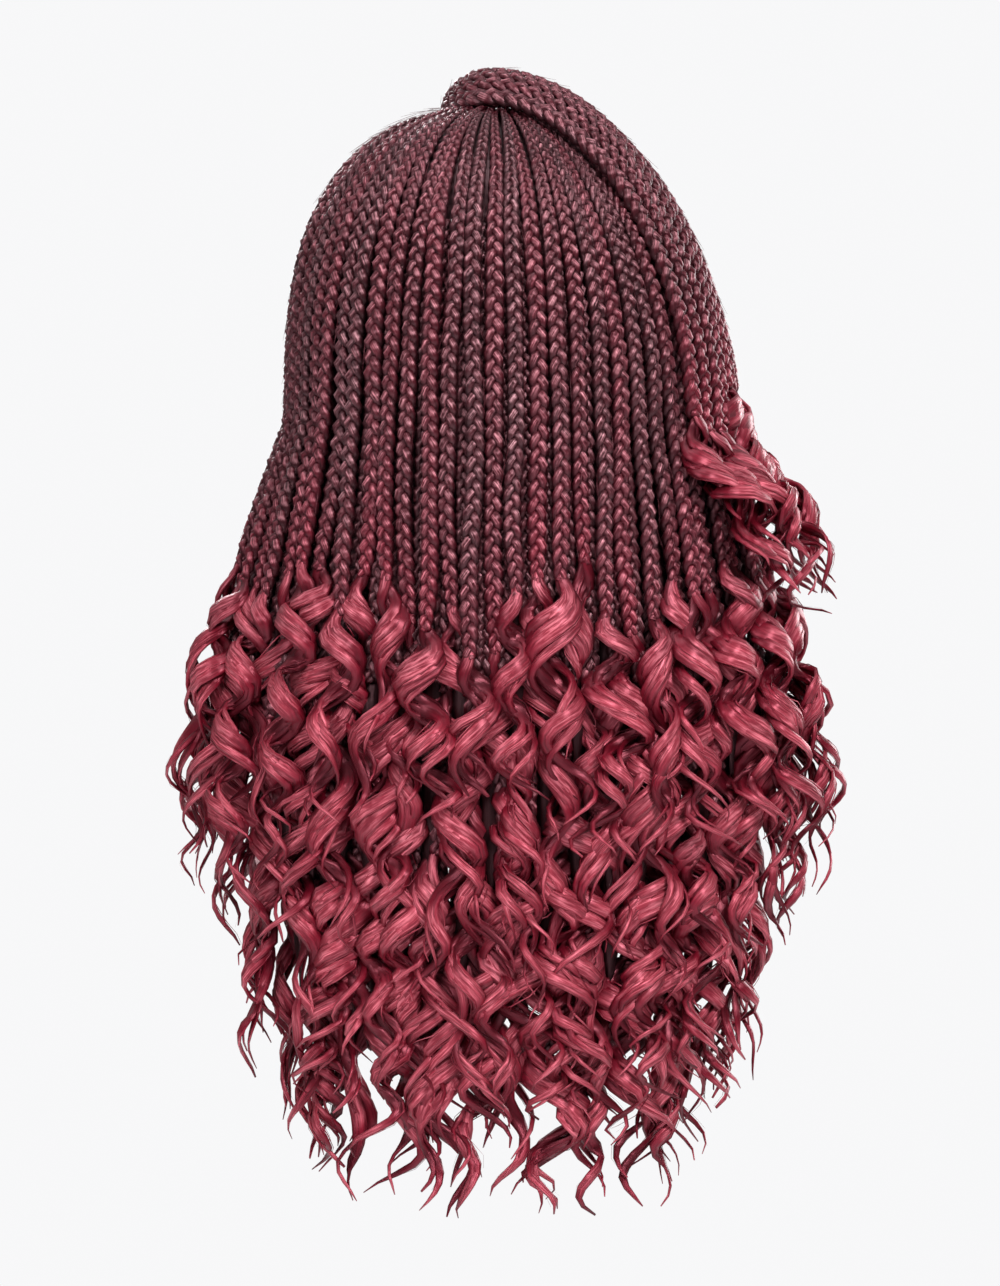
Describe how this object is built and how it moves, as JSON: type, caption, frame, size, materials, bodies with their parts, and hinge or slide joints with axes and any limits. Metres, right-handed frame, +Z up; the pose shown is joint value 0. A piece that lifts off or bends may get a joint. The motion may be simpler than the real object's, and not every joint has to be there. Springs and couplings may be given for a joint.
{
  "type": "crochet box braids",
  "caption": "Full head of burgundy crochet box braids with loose curly ends on a stretch cap, worn half up, with a tied tail that falls over one side.",
  "frame": {"origin": "inside of the cap's top, where the crown of the head bears", "axes": "+Z up, along the hanging braids; -Y is the way the wearer faces; +X is the wearer's left; the tied tail falls to -X"},
  "size_m": [0.3685, 0.2292, 0.639],
  "materials": {
    "braid_fibre": "glossy synthetic fibre, dark burgundy turning red at the curly ends",
    "cap_knit": "matt stretch knit",
    "tie_elastic": "covered elastic, satin"
  },
  "bodies": {
    "root": {"cap": "cap_knit", "hair_tie": "tie_elastic", "front_row": "braid_fibre", "row_upper": "braid_fibre", "row_middle": "braid_fibre", "row_lower": "braid_fibre", "row_nape": "braid_fibre", "fan_01": "braid_fibre", "fan_02": "braid_fibre", "fan_03": "braid_fibre", "fan_04": "braid_fibre", "fan_05": "braid_fibre", "fan_06": "braid_fibre", "fan_07": "braid_fibre", "fan_08": "braid_fibre", "fan_09": "braid_fibre", "fan_10": "braid_fibre", "fan_11": "braid_fibre", "fan_12": "braid_fibre", "fan_13": "braid_fibre", "fan_14": "braid_fibre", "fan_15": "braid_fibre", "fan_16": "braid_fibre", "fan_17": "braid_fibre", "fan_18": "braid_fibre", "fan_19": "braid_fibre", "fan_20": "braid_fibre", "fan_21": "braid_fibre", "fan_22": "braid_fibre", "fan_23": "braid_fibre", "fan_24": "braid_fibre", "fan_25": "braid_fibre", "fan_26": "braid_fibre", "fan_27": "braid_fibre", "fan_28": "braid_fibre", "fan_29": "braid_fibre", "fan_30": "braid_fibre", "fan_31": "braid_fibre", "fan_32": "braid_fibre", "fan_33": "braid_fibre", "fan_34": "braid_fibre", "fan_35": "braid_fibre", "fan_36": "braid_fibre", "tail_01": "braid_fibre", "tail_02": "braid_fibre", "tail_03": "braid_fibre", "tail_04": "braid_fibre", "tail_05": "braid_fibre", "tail_06": "braid_fibre", "tail_07": "braid_fibre", "tail_08": "braid_fibre", "tail_09": "braid_fibre"}
  },
  "joints": []
}
